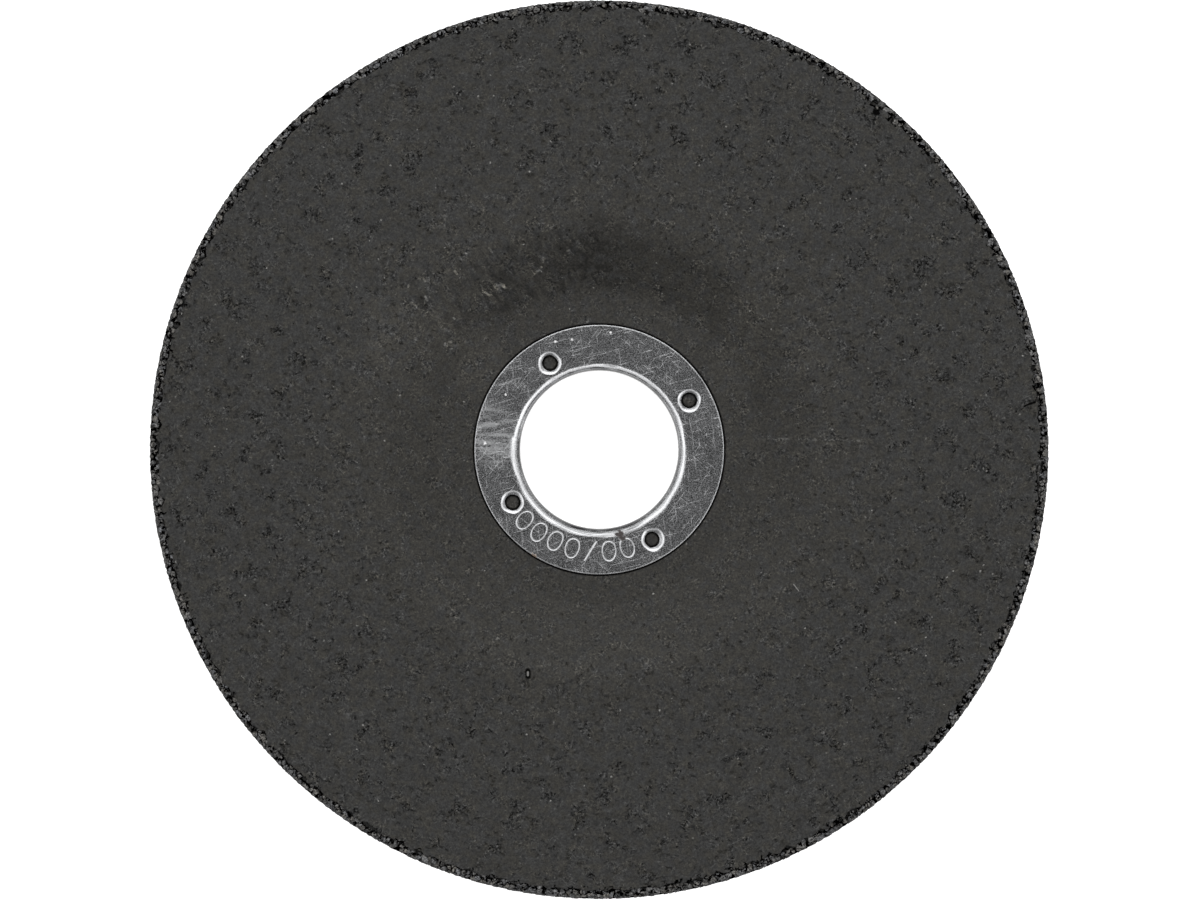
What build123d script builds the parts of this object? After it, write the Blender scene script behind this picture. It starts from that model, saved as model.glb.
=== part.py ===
"""Depressed-centre grinding disc with its pressed steel centre ring.

Millimetres. Z is the disc's axis and points out of the recess. The origin is on the axis, at the back of the hub.
The disc lies with its recess up, on the back of the hub.
"""
import os
from math import radians, sin, tan

from build123d import *

# Abrasive wheel
disc_diameter = 125.0
disc_thickness = 6.0
hub_thickness = 5.4
recess_depth = 4.6
recess_floor_radius = 22.2
slope_angle = 28.0
slope_thickness = 5.5
recess_floor_blend = 5.0
recess_mouth_blend = 10.0
back_blend = 8.0

# Rim, where the fibre skin stops and the coarse grain is bare
bare_rim_width = 1.25
bare_rim_step = 0.3
rim_edge_chamfer = 0.6

# Centre ring, pressed from one disc of sheet steel
bore_radius = 11.115
sheet_thickness = 0.5
flange_radius = 17.5
flange_edge_chamfer = 0.12
lip_radius = 1.2
collar_end_height = 0.4

# Staking holes, pierced downwards through the flange by a pointed punch, so that their burrs grip the abrasive
staking_count = 4
staking_circle_radius = 14.26
staking_first_angle = 30.0
staking_shift_x = 0.24
staking_shift_y = -0.23
staking_hole_radius = 1.08
staking_mouth_radius = 1.62
staking_mouth_depth = 0.45
burr_root_radius = 1.45
burr_tip_radius = 1.24
burr_length = 0.9

# Seat of the ring in the wheel
seat_depth = 0.3
seat_gap = 0.2
collar_gap = 0.05
bend_gap = 0.1
burr_gap = 0.1
plug_gap = 0.13
plug_drop = 0.15
pocket_extra_depth = 0.15

# Heights
face_height = hub_thickness + recess_depth
back_height = face_height - disc_thickness
seat_height = hub_thickness - seat_depth
flange_top = seat_height + sheet_thickness

# Radii that follow
disc_radius = disc_diameter / 2
skin_radius = disc_radius - bare_rim_width
collar_radius = bore_radius + sheet_thickness
seat_radius = flange_radius + seat_gap
wheel_bore_radius = collar_radius + collar_gap
inner_bend_radius = lip_radius - sheet_thickness
slope_run = 1 / tan(radians(slope_angle))
recess_mouth_radius = recess_floor_radius + recess_depth * slope_run
hub_back_radius = recess_floor_radius + slope_thickness / sin(radians(slope_angle)) - hub_thickness * slope_run
back_slope_end_radius = hub_back_radius + back_height * slope_run


def corner(sketch, point):
    """The sketch's vertex nearest to a point."""
    return sketch.vertices().sort_by_distance(point)[0]


def at_staking_holes(height):
    """The places of the staking holes at one height."""
    centre = Location((staking_shift_x, staking_shift_y, height))
    places = PolarLocations(staking_circle_radius, staking_count, start_angle=staking_first_angle)
    return Locations(*[centre * place for place in places])


def make_abrasive_wheel():
    """The moulded wheel: one revolved section, dished at the hub, with a seat and pockets for the ring."""
    hub_back_corner = (hub_back_radius, 0)
    back_slope_end = (back_slope_end_radius, back_height)
    lower_rim_corner = (disc_radius, back_height + bare_rim_step)
    upper_rim_corner = (disc_radius, face_height - bare_rim_step)
    recess_mouth = (recess_mouth_radius, face_height)
    recess_floor_corner = (recess_floor_radius, hub_thickness)
    bore_mouth = (wheel_bore_radius, seat_height)
    with BuildPart() as wheel:
        with BuildSketch(Plane.XZ) as section:
            with BuildLine():
                Polyline(
                    (wheel_bore_radius, 0),
                    hub_back_corner,
                    back_slope_end,
                    (skin_radius, back_height),
                    (skin_radius, back_height + bare_rim_step),
                    lower_rim_corner,
                    upper_rim_corner,
                    (skin_radius, face_height - bare_rim_step),
                    (skin_radius, face_height),
                    recess_mouth,
                    recess_floor_corner,
                    (seat_radius, hub_thickness),
                    (seat_radius, seat_height),
                    bore_mouth,
                    close=True,
                )
            make_face()
            fillet([corner(section, hub_back_corner), corner(section, back_slope_end)], back_blend)
            fillet(corner(section, recess_mouth), recess_mouth_blend)
            fillet(corner(section, recess_floor_corner), recess_floor_blend)
            chamfer([corner(section, lower_rim_corner), corner(section, upper_rim_corner)], rim_edge_chamfer)
            chamfer(corner(section, bore_mouth), inner_bend_radius + bend_gap)
        revolve(axis=Axis.Z)
        with BuildSketch(Plane.XY.offset(seat_height)):
            with at_staking_holes(0):
                Circle(burr_root_radius + burr_gap)
        extrude(amount=-burr_length - pocket_extra_depth, mode=Mode.SUBTRACT)
        with BuildSketch(Plane.XY.offset(seat_height - plug_drop)):
            with at_staking_holes(0):
                Circle(staking_hole_radius - plug_gap)
        extrude(amount=plug_drop - burr_length - pocket_extra_depth)
    return wheel.part


def make_centre_ring():
    """The bushing: a flange, a rounded lip and a collar, with four holes pierced down into the wheel."""
    lip = (bore_radius, flange_top)
    flange_edge = (flange_radius, flange_top)
    inner_bend = (collar_radius, seat_height)
    with BuildPart() as ring:
        with BuildSketch(Plane.XZ) as section:
            with BuildLine():
                Polyline(
                    (bore_radius, collar_end_height),
                    lip,
                    flange_edge,
                    (flange_radius, seat_height),
                    inner_bend,
                    (collar_radius, collar_end_height),
                    close=True,
                )
            make_face()
            fillet(corner(section, lip), lip_radius)
            fillet(corner(section, inner_bend), inner_bend_radius)
            chamfer(corner(section, flange_edge), flange_edge_chamfer)
        revolve(axis=Axis.Z)
        with at_staking_holes(seat_height - burr_length):
            Cone(
                burr_tip_radius,
                burr_root_radius,
                burr_length,
                align=(Align.CENTER, Align.CENTER, Align.MIN),
            )
        with at_staking_holes(flange_top):
            Cylinder(
                staking_hole_radius,
                sheet_thickness + burr_length,
                align=(Align.CENTER, Align.CENTER, Align.MAX),
                mode=Mode.SUBTRACT,
            )
            Cone(
                staking_hole_radius,
                staking_mouth_radius,
                staking_mouth_depth,
                align=(Align.CENTER, Align.CENTER, Align.MAX),
                mode=Mode.SUBTRACT,
            )
    return ring.part


nodes = {
    "abrasive_wheel": make_abrasive_wheel(),
    "centre_ring": make_centre_ring(),
}

os.makedirs("parts", exist_ok=True)
for name, solid in nodes.items():
    solid.label = name
    export_step(solid, f"parts/{name}.step")
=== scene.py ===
"""Looks of the depressed-centre grinding disc: the pitted abrasive, its bare rim and the staked steel ring."""

import math

import bpy
import numpy as np
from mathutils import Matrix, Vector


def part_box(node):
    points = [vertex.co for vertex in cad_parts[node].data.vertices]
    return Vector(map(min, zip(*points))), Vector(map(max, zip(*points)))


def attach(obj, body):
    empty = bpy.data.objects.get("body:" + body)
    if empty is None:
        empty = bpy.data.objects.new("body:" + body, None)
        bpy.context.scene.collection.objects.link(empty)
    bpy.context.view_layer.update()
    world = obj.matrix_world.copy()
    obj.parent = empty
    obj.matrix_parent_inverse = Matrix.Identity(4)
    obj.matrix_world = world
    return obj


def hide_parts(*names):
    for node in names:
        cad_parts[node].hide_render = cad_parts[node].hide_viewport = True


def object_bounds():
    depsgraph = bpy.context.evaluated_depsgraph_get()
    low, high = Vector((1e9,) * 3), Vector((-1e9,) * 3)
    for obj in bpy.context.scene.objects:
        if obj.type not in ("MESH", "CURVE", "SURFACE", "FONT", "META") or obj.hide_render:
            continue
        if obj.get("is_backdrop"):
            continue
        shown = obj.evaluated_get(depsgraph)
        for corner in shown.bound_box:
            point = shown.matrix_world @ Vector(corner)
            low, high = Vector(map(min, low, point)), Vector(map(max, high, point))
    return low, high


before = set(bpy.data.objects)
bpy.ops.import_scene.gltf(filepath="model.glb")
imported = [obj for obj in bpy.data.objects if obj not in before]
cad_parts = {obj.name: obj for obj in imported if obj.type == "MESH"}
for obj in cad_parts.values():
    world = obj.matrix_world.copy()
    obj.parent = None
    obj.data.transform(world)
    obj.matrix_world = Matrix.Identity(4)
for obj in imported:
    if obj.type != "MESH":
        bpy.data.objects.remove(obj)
cad_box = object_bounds()

MM = 0.001
chance = np.random.default_rng(125)

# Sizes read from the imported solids
wheel_low, wheel_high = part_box("abrasive_wheel")
ring_low, ring_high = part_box("centre_ring")
disc_radius = wheel_high.x
face_height = wheel_high.z
flange_top = ring_high.z
flange_radius = ring_high.x
collar_end_height = ring_low.z

# Section of the abrasive wheel, as the solid has it
disc_thickness = 6.0 * MM
hub_thickness = 5.4 * MM
slope_thickness = 5.5 * MM
slope_angle = math.radians(28)
slope_run = 1 / math.tan(slope_angle)
back_height = face_height - disc_thickness
recess_floor_radius = 22.2 * MM
recess_mouth_radius = recess_floor_radius + (face_height - hub_thickness) * slope_run
hub_back_radius = recess_floor_radius + slope_thickness / math.sin(slope_angle) - hub_thickness * slope_run
back_slope_end_radius = hub_back_radius + back_height * slope_run
recess_floor_blend = 5.0 * MM
recess_mouth_blend = 10.0 * MM
back_blend = 8.0 * MM
wheel_bore_radius = 11.665 * MM
bore_mouth_chamfer = 0.8 * MM
skin_radius = disc_radius - 1.25 * MM
skin_edge_round = 0.12 * MM

# Steps of the wheel's mesh, and how its skin is roughened and pitted
wheel_steps = 440
face_step = 0.62 * MM
back_step = 1.1 * MM
skin_shift = 0.2 * MM
skin_unevenness = 0.012 * MM
skin_edge_waver = 0.075 * MM
pit_share_plain = 0.015
pit_share_opening = 0.13
pit_inset = 0.17 * MM
pit_depth = 0.12 * MM

# Bare rim: a bed painted near black as shade lies under the grains, which are pressed flush with the solid's own
# surface
rim_step = 0.2 * MM
rim_chamfer = 0.45 * MM
rim_bed_depth = 0.7 * MM
rim_side_depth = 0.08 * MM
rim_grain_spacing = 0.62 * MM
rim_grain_least = 0.34
rim_grain_most = 0.6
rim_tries = 26000

# Centre ring, seated in the wheel
bore_radius = 11.115 * MM
sheet_thickness = 0.5 * MM
seat_height = flange_top - sheet_thickness
seat_radius = flange_radius + 0.2 * MM
seat_edge_round = 0.1 * MM
lip_radius = 1.2 * MM
lip_wave = 0.07
lip_drift = -0.26 * MM
lip_dent = 0.42 * MM
lip_fade = 0.9 * MM
flange_edge_round = 0.18 * MM
collar_end_round = 0.12 * MM
ring_steps = 360

# Staking holes, each a funnel with a burr below, round a plug of abrasive that stands in its pocket
staking_circle_radius = 14.26 * MM
staking_angles = [math.radians(angle) for angle in (30, 120, 210, 300)]
staking_shift = np.array((0.24 * MM, -0.23 * MM))
funnel = [(1.66, 0.0), (1.47, 0.05), (1.3, 0.13), (1.18, 0.23), (1.11, 0.34), (1.08, 0.46), (1.08, 1.6)]
punch_leans = [(0.0, -0.05), (-0.05, -0.04), (-0.03, 0.02), (0.14, 0.0)]
burr_root_radius = 1.45 * MM
burr_tip_radius = 1.24 * MM
burr_length = 0.9 * MM
plug_radius = 0.9 * MM
plug_drop = 0.25 * MM
pocket_radius = 1.55 * MM
pocket_depth = 1.05 * MM

# Stamp on the flange: plain digits, tops outward, read clockwise
stamp_text = "00/0000"
stamp_radius = 14.25 * MM
stamp_height = 2.7 * MM
stamp_width = 1.9 * MM
stamp_first_angle = math.radians(-74)
stamp_step = math.radians(-10.45)
stamp_middle = math.radians(-105.5)
stamp_half_sweep = math.radians(36)
stamp_groove = 0.14 * MM
stamp_depth = 0.048 * MM

# Glass mesh moulded in under the face: its openings are where the pits gather
mesh_opening_a = (4.67 * MM, -4.27 * MM)
mesh_opening_b = (3.36 * MM, 4.04 * MM)
opening_half_width = 0.46

# The two directions in which openings are counted, each with the count at which an opening's middle lies
mesh_area = mesh_opening_a[0] * mesh_opening_b[1] - mesh_opening_a[1] * mesh_opening_b[0]
mesh_counts = [
    ((mesh_opening_b[1] / mesh_area, -mesh_opening_b[0] / mesh_area, 0.0), -0.194),
    ((-mesh_opening_a[1] / mesh_area, mesh_opening_a[0] / mesh_area, 0.0), 0.368),
]

# Sizes of what shows in the abrasive, and its levels of grey
speckle_size = 0.2 * MM
grain_size = 0.34 * MM
fleck_size = 0.38 * MM
patch_size = 1.9 * MM
blotch_size = 5.0 * MM
glint_size = 0.42 * MM
crevice_spacing = 0.78 * MM
# Flecks, hollows and gaps are painted dark as the shade in them; glints are painted highlights
plain_level = 0.0243
fleck_shade_level = 0.006
hollow_shade_level = 0.003
gap_shade_level = 0.0005
fibre_level = 0.13
glint_level = 0.32

# Marks where the photo has them, in millimetres from the disc's axis
# Strokes have a start, an end and a width. Spots have a place, a radius and at times a blur
# Painted light and shade on the slope: folds, heaps of glints, a shaded top and lighter sides
fold_band = ((-21.0, 21.0), (-5.0, 26.5), 14.0)
painted_glint_heaps = [((-16.9, 21.3), (-13.4, 22.9), 2.1), ((-9.9, 24.3), (-8.2, 25.2), 1.4)]
faint_painted_glint_heap = ((-21.0, 18.0), (-20.3, 13.8), 2.4)
painted_shade_top = (-1.0, 26.2, 8.5, 0.9)
painted_light_sides = [((-23.5, 15.0, 11.5, 0.9), 1.34), ((22.0, 16.0, 10.0, 0.9), 1.25)]
# Hollows: a pit, a crack and a dark pit, their shade painted near black
hollow_strokes = [
    ((-9.9, -30.75), (-9.9, -31.45), 1.15),
    ((59.0, 6.0), (59.7, 6.35), 0.3),
    ((59.7, 6.35), (60.5, 6.6), 0.45),
]
hollow_spot = (38.4, 46.8, 0.7, 0.6)
pale_strokes = [((-9.9, -30.9), (-9.9, -31.3), 0.4), ((27.0, -18.7), (27.7, -19.6), 0.18)]
face_scratch = ((24.2, 1.55), (36.4, 1.25), 0.42)
ring_specks = [(-6.1, 15.1, 0.22), (-3.8, 15.4, 0.2), (-13.1, 7.7, 0.2), (-16.0, 0.9, 0.26), (1.6, 16.4, 0.2)]
ring_cuts = [
    ((5.9, 12.7), (6.9, 11.1), 0.16),
    ((6.9, 11.1), (7.3, 12.4), 0.14),
    ((13.4, 7.7), (15.0, 3.6), 0.13),
    ((15.4, 5.6), (13.2, 3.5), 0.13),
]
ring_stain = [(2.9, -11.9, 0.68), (3.3, -12.4, 0.5)]
ring_rust = (-9.15, -14.9, 0.5)

# Short dashes of painted glint on the slope: place, degrees, length and strength
dash_width = 0.42
painted_glint_dashes = [
    (-15.6, 21.7, 143, 0.7, 1.0),
    (-13.3, 22.7, 153, 0.4, 0.95),
    (-8.5, 24.9, 25, 0.5, 0.8),
    (-24.0, 21.0, 120, 0.6, 0.8),
    (-14.0, 22.9, 5, 0.6, 0.65),
    (-20.2, 18.3, 127, 0.15, 0.7),
    (-20.8, 15.0, 175, 0.25, 0.7),
    (-26.5, 22.7, 71, 0.2, 0.65),
    (-19.9, 24.6, 125, 0.55, 0.75),
    (-21.5, 14.7, 70, 0.25, 0.6),
    (-15.1, 27.7, 126, 0.7, 0.55),
    (-25.5, 15.4, 91, 0.25, 0.55),
    (-7.8, 26.4, 90, 0.6, 0.5),
    (-24.3, 23.6, 124, 0.5, 0.5),
    (-4.3, 27.7, 20, 0.3, 0.5),
    (-19.3, 26.6, 118, 0.6, 0.35),
]

# Brightness of the light tent by height: low down, in the bright band high up, and overhead round the camera
tent_low = 0.5
tent_band = 1.3
tent_overhead = 0.04

# How much of it there is on the photographer's side, to the left and to the right, and a brighter corner
tent_near_side = 0.42
tent_left_side = 1.45
tent_right_side = 1.1
tent_corner = 1.0
tent_corner_direction = (0.62, -0.42, 0.66)

# The soft light on the far side
key_light_place = (0, 1.19, 1.07)
key_light_size = 1.44
key_light_power = 8.0


# Shaping


def deselect_all():
    """Leaves edit mode and selects nothing."""
    if bpy.context.object and bpy.context.object.mode != "OBJECT":
        bpy.ops.object.mode_set(mode="OBJECT")
    bpy.ops.object.select_all(action="DESELECT")


def pick(piece):
    """Makes a piece the only selected and active one."""
    deselect_all()
    piece.select_set(True)
    bpy.context.view_layer.objects.active = piece


def rounded_section(corners, spacing):
    """Points along a section of (radius, height, blend radius) corners, with an arc at each blend."""
    points = []
    for index, (x, z, blend) in enumerate(corners):
        here = np.array((x, z))
        if blend <= 0:
            points.append(here)
            continue
        before = np.array(corners[index - 1][:2]) - here
        after = np.array(corners[(index + 1) % len(corners)][:2]) - here
        before /= np.linalg.norm(before)
        after /= np.linalg.norm(after)
        half_angle = math.acos(np.clip(before @ after, -1, 1)) / 2
        reach = blend / math.tan(half_angle)
        middle = before + after
        centre = here + middle / np.linalg.norm(middle) * blend / math.sin(half_angle)
        start = here + before * reach - centre
        end = here + after * reach - centre
        turn = math.atan2(start[0] * end[1] - start[1] * end[0], start @ end)
        steps = max(3, round(abs(turn) * blend / spacing))
        for step in range(steps + 1):
            angle = turn * step / steps
            cosine, sine = math.cos(angle), math.sin(angle)
            points.append(centre + (start[0] * cosine - start[1] * sine, start[0] * sine + start[1] * cosine))
    return points


def divide_runs(points, spacing):
    """The same closed section with its long straight runs divided. Spacing gives the step at a point."""
    divided = []
    for start, end in zip(points, points[1:] + points[:1]):
        pieces = max(1, round(np.linalg.norm(end - start) / spacing((start + end) / 2)))
        divided += [start + (end - start) * step / pieces for step in range(pieces)]
    return divided


def turn_section(name, section, steps, closed=True):
    """A turned piece: a vertex is extruded along the section, and the section is spun round the disc's axis."""
    deselect_all()
    bpy.ops.mesh.primitive_plane_add(size=MM, location=(0, 0, 0))
    piece = bpy.context.object
    piece.name = name
    bpy.ops.object.mode_set(mode="EDIT")
    bpy.ops.mesh.select_mode(type="VERT")
    bpy.ops.mesh.select_all(action="SELECT")
    bpy.ops.mesh.merge(type="CENTER")
    here = section[0]
    bpy.ops.transform.translate(value=(here[0], 0, here[1]))
    for point in section[1:] + section[:1] * closed:
        move = point - here
        bpy.ops.mesh.extrude_vertices_move(TRANSFORM_OT_translate={"value": (move[0], 0, move[1])})
        here = point
    bpy.ops.mesh.select_all(action="SELECT")
    bpy.ops.mesh.spin(steps=steps, angle=math.tau, center=(0, 0, 0), axis=(0, 0, 1))
    bpy.ops.mesh.select_all(action="SELECT")
    bpy.ops.mesh.remove_doubles(threshold=0.002 * MM)
    bpy.ops.mesh.normals_make_consistent(inside=False)
    bpy.ops.object.mode_set(mode="OBJECT")
    return piece


def vertex_places(piece):
    """The vertices' places as an array."""
    places = np.empty(len(piece.data.vertices) * 3, np.float32)
    piece.data.vertices.foreach_get("co", places)
    return places.reshape(-1, 3).astype(float)


def set_vertex_places(piece, places):
    """Puts the vertices at new places."""
    piece.data.vertices.foreach_set("co", places.astype(np.float32).ravel())
    piece.data.update()


def face_centres(piece):
    """The middles and normals of a piece's faces as arrays."""
    centres = np.empty(len(piece.data.polygons) * 3, np.float32)
    normals = np.empty(len(piece.data.polygons) * 3, np.float32)
    piece.data.polygons.foreach_get("center", centres)
    piece.data.polygons.foreach_get("normal", normals)
    return centres.reshape(-1, 3).astype(float), normals.reshape(-1, 3).astype(float)


def combine(piece, tool, operation):
    """Joins a tool to a piece or cuts the piece with it, and throws the tool away."""
    pick(piece)
    modifier = piece.modifiers.new("combine", "BOOLEAN")
    modifier.operation = operation
    modifier.solver = "MANIFOLD"
    modifier.object = tool
    bpy.ops.object.modifier_apply(modifier=modifier.name)
    bpy.data.objects.remove(tool)


def put_in_order(piece):
    """Gives a mesh's vertices and faces a fixed order, since a cut leaves them in a different one in each run."""
    places = vertex_places(piece)
    order = np.lexsort(places.T)
    rank = np.argsort(order)
    faces = []
    for face in piece.data.polygons:
        corners = rank[list(face.vertices)].tolist()
        first = corners.index(min(corners))
        faces.append(corners[first:] + corners[:first])
    ordered = bpy.data.meshes.new(piece.name)
    ordered.from_pydata(places[order].tolist(), [], sorted(faces))
    piece.data = ordered


def at_staking_holes(make_one):
    """Four copies of a turned tool, one at each staking hole, joined."""
    tools = []
    for index, angle in enumerate(staking_angles):
        tool = make_one(index)
        centre = staking_shift + staking_circle_radius * np.array((math.cos(angle), math.sin(angle)))
        set_vertex_places(tool, vertex_places(tool) + (centre[0], centre[1], 0))
        tools.append(tool)
    return join_pieces(tools)


def join_pieces(pieces):
    """Several pieces made one."""
    deselect_all()
    for piece in pieces:
        piece.select_set(True)
    bpy.context.view_layer.objects.active = pieces[0]
    bpy.ops.object.join()
    return pieces[0]


def turned_tool(profile, steps=40):
    """A tool turned from (radius, height) points that start and end on its own axis."""
    section = [np.array(point) for point in profile]
    return turn_section("tool", section, steps, closed=False)


# Abrasive wheel


def opening_share(places):
    """1 in the middle of the mesh's openings and 0 over its strands."""
    share = np.ones(len(places))
    for across, phase in mesh_counts:
        along = places @ across - phase
        share *= np.clip((opening_half_width - np.abs(along - np.round(along))) / 0.2, 0, 1)
    return share


def make_abrasive_wheel():
    """The moulded wheel, turned from its section, with pockets for the burrs and pits in its skin."""
    groove_end = disc_radius - rim_bed_depth
    bed_radius = disc_radius - rim_side_depth
    bed_top = face_height - rim_step - rim_bed_depth
    bed_bottom = back_height + rim_step + rim_bed_depth
    corners = [
        (wheel_bore_radius, 0, 0),
        (hub_back_radius, 0, back_blend),
        (back_slope_end_radius, back_height, back_blend),
        (skin_radius, back_height, skin_edge_round),
        (skin_radius - 0.1 * MM, bed_bottom, 0),
        (groove_end, bed_bottom, 0),
        (bed_radius, bed_bottom, 0),
        (bed_radius, bed_top, 0),
        (groove_end, bed_top, 0),
        (skin_radius - 0.1 * MM, bed_top, 0),
        (skin_radius, face_height, skin_edge_round),
        (recess_mouth_radius, face_height, recess_mouth_blend),
        (recess_floor_radius, hub_thickness, recess_floor_blend),
        (seat_radius, hub_thickness, seat_edge_round),
        (seat_radius, seat_height, 0),
        (wheel_bore_radius + bore_mouth_chamfer, seat_height, 0),
        (wheel_bore_radius, seat_height - bore_mouth_chamfer, 0),
    ]

    def spacing(point):
        """Fine on the face, coarser on the back and the bed."""
        on_face = point[1] > back_height + 0.5 * MM and seat_radius < point[0] < skin_radius
        return face_step if on_face else back_step

    section = divide_runs(rounded_section(corners, face_step), spacing)
    wheel = turn_section("abrasive_wheel_finish", section, wheel_steps)
    combine(wheel, at_staking_holes(make_pocket), "DIFFERENCE")
    put_in_order(wheel)
    roughen_skin(wheel)
    centres, normals = face_centres(wheel)
    radius = np.hypot(centres[:, 0], centres[:, 1])
    share = opening_share(centres)
    on_skin = (radius > seat_radius + 0.8 * MM) & (radius < skin_radius - 0.5 * MM) & (normals[:, 2] > 0.5)
    outer = np.clip((radius - 27 * MM) / (6 * MM), 0.1, 1)
    likely = (pit_share_plain + pit_share_opening * share) * outer * on_skin
    sink_pits(wheel, chance.random(len(likely)) < likely)
    return wheel


def make_pocket(_):
    """The tool that cuts one pocket and leaves the plug in it standing."""
    above = seat_height + 1 * MM
    floor = seat_height - pocket_depth
    plug_top = seat_height - plug_drop
    pocket = [(0, above), (pocket_radius, above), (pocket_radius, floor)]
    plug = [(plug_radius, floor), (plug_radius, plug_top - 0.1 * MM), (plug_radius - 0.15 * MM, plug_top)]
    return turned_tool(pocket + plug + [(0, plug_top)])


def roughen_skin(wheel):
    """Shifts the skin's vertices a little, so that its rings of faces don't show as rings."""
    places = vertex_places(wheel)
    radius = np.hypot(places[:, 0], places[:, 1])
    flat = (radius > seat_radius + 0.5 * MM) & (radius < skin_radius - 0.5 * MM)
    level = (np.abs(places[:, 2] - face_height) < 0.01 * MM) | (np.abs(places[:, 2] - back_height) < 0.01 * MM)
    shift = np.zeros_like(places)
    shift[:, :2] = chance.uniform(-skin_shift, skin_shift, (len(places), 2)) * (flat & level)[:, None]
    shift[:, 2] = chance.normal(0, skin_unevenness, len(places)) * flat
    edge = (np.abs(radius - skin_radius) < 0.3 * MM) & (np.abs(places[:, 2] - face_height + 3 * MM) > 2 * MM)
    outward = places[:, :2] / np.maximum(radius, MM)[:, None]
    angle = np.arctan2(places[:, 1], places[:, 0])
    ragged = np.zeros(len(places))
    for waves in chance.integers(60, 215, 12):
        ragged += skin_edge_waver * np.sin(angle * waves + chance.uniform(0, math.tau))
    shift[:, :2] += outward * ((ragged - 0.05 * MM) * edge)[:, None]
    set_vertex_places(wheel, places + shift)


def sink_pits(piece, chosen):
    """Insets the chosen faces, sinks them into the surface and draws each to a ragged point."""
    pick(piece)
    bpy.ops.object.mode_set(mode="EDIT")
    bpy.ops.mesh.select_all(action="DESELECT")
    bpy.ops.mesh.select_mode(type="FACE")
    bpy.ops.object.mode_set(mode="OBJECT")
    piece.data.polygons.foreach_set("select", chosen)
    bpy.ops.object.mode_set(mode="EDIT")
    bpy.ops.mesh.inset(thickness=pit_inset, depth=-pit_depth, use_individual=True, use_even_offset=True)
    bpy.ops.mesh.poke(offset=-pit_depth)
    bpy.ops.object.mode_set(mode="OBJECT")


# Bare rim


def rim_section():
    """The bare rim's section from the skin on the face round to the skin on the back, as points."""
    top = face_height - rim_step
    bottom = back_height + rim_step
    corners = [
        (skin_radius - 0.1 * MM, top),
        (disc_radius - rim_chamfer, top),
        (disc_radius, top - rim_chamfer),
        (disc_radius, bottom + rim_chamfer),
        (disc_radius - rim_chamfer, bottom),
        (skin_radius - 0.1 * MM, bottom),
    ]
    return [np.array(corner) for corner in corners]


def scatter_on_rim():
    """Random places over the rim's section and round it, none too close to another, each with the way out."""
    section = rim_section()
    runs = [end - start for start, end in zip(section, section[1:])]
    lengths = np.array([np.linalg.norm(run) for run in runs])
    total = lengths.sum()
    round_length = math.tau * disc_radius
    tries = chance.random((rim_tries, 2)) * (round_length, total)
    taken = {}
    for along, across in tries:
        cell = (int(along / rim_grain_spacing), int(across / rim_grain_spacing))
        near = [taken.get((cell[0] + i, cell[1] + j)) for i in (-1, 0, 1) for j in (-1, 0, 1)]
        if all(other is None or math.dist(other, (along, across)) > rim_grain_spacing for other in near):
            taken[cell] = (along, across)
    ends = np.cumsum(lengths)
    for along, across in taken.values():
        index = min(int(np.searchsorted(ends, across)), len(runs) - 1)
        share = (across - ends[index] + lengths[index]) / lengths[index]
        outward = np.array((-runs[index][1], runs[index][0])) / lengths[index]
        yield along / disc_radius, section[index] + runs[index] * share, outward


def make_rim_grains():
    """The coarse grains of the bare rim: one faceted crystal, copied with its own size, turn and tone."""
    deselect_all()
    bpy.ops.mesh.primitive_ico_sphere_add(subdivisions=1, radius=1.0, location=(0, 0, 0))
    crystal = bpy.context.object
    shape = vertex_places(crystal)
    faces = np.array([face.vertices[:] for face in crystal.data.polygons])
    bpy.data.objects.remove(crystal)
    places = []
    corners = []
    tones = []
    for angle, (radius, height), (out_r, out_z) in scatter_on_rim():
        size = chance.uniform(0.75, 1.25, 3) * chance.uniform(rim_grain_least, rim_grain_most) * MM
        grain = (shape * chance.uniform(0.75, 1.2, (len(shape), 1)) * size) @ random_turn().T
        sink = size.mean() * chance.uniform(0.3, 1.0)
        r = radius - out_r * sink
        z = height - out_z * sink
        corners.append(faces + len(places) * len(shape))
        places.append(grain + (r * math.cos(angle), r * math.sin(angle), z))
        tones.append(chance.random())
    places = press_flush(np.concatenate(places))
    mesh = bpy.data.meshes.new("rim_grains")
    mesh.from_pydata(places.tolist(), [], np.concatenate(corners).tolist())
    tone = mesh.attributes.new("grain_tone", "FLOAT", "POINT")
    tone.data.foreach_set("value", np.repeat(tones, len(shape)))
    grains = bpy.data.objects.new("rim_grains", mesh)
    bpy.context.scene.collection.objects.link(grains)
    return grains


def press_flush(places):
    """Presses grains that stand out back to the mould's surface, as the real rim is moulded and dressed."""
    top = face_height - rim_step
    bottom = back_height + rim_step
    slack = chance.uniform(0, 0.025 * MM, len(places))
    height = np.clip(places[:, 2], bottom + slack, top - slack)
    to_edge = np.minimum(top - height, height - bottom)
    reach = disc_radius - slack - np.maximum(rim_chamfer - to_edge, 0)
    radius = np.hypot(places[:, 0], places[:, 1])
    pressed = places * np.minimum(reach / radius, 1)[:, None]
    pressed[:, 2] = height
    return pressed


def random_turn():
    """A random turn as a three by three array."""
    axis = chance.normal(0, 1, 3)
    axis /= np.linalg.norm(axis)
    angle = chance.uniform(0, math.tau)
    x, y, z = axis
    cross = np.array(((0, -z, y), (z, 0, -x), (-y, x, 0)))
    return np.eye(3) + math.sin(angle) * cross + (1 - math.cos(angle)) * cross @ cross


# Centre ring


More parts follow.
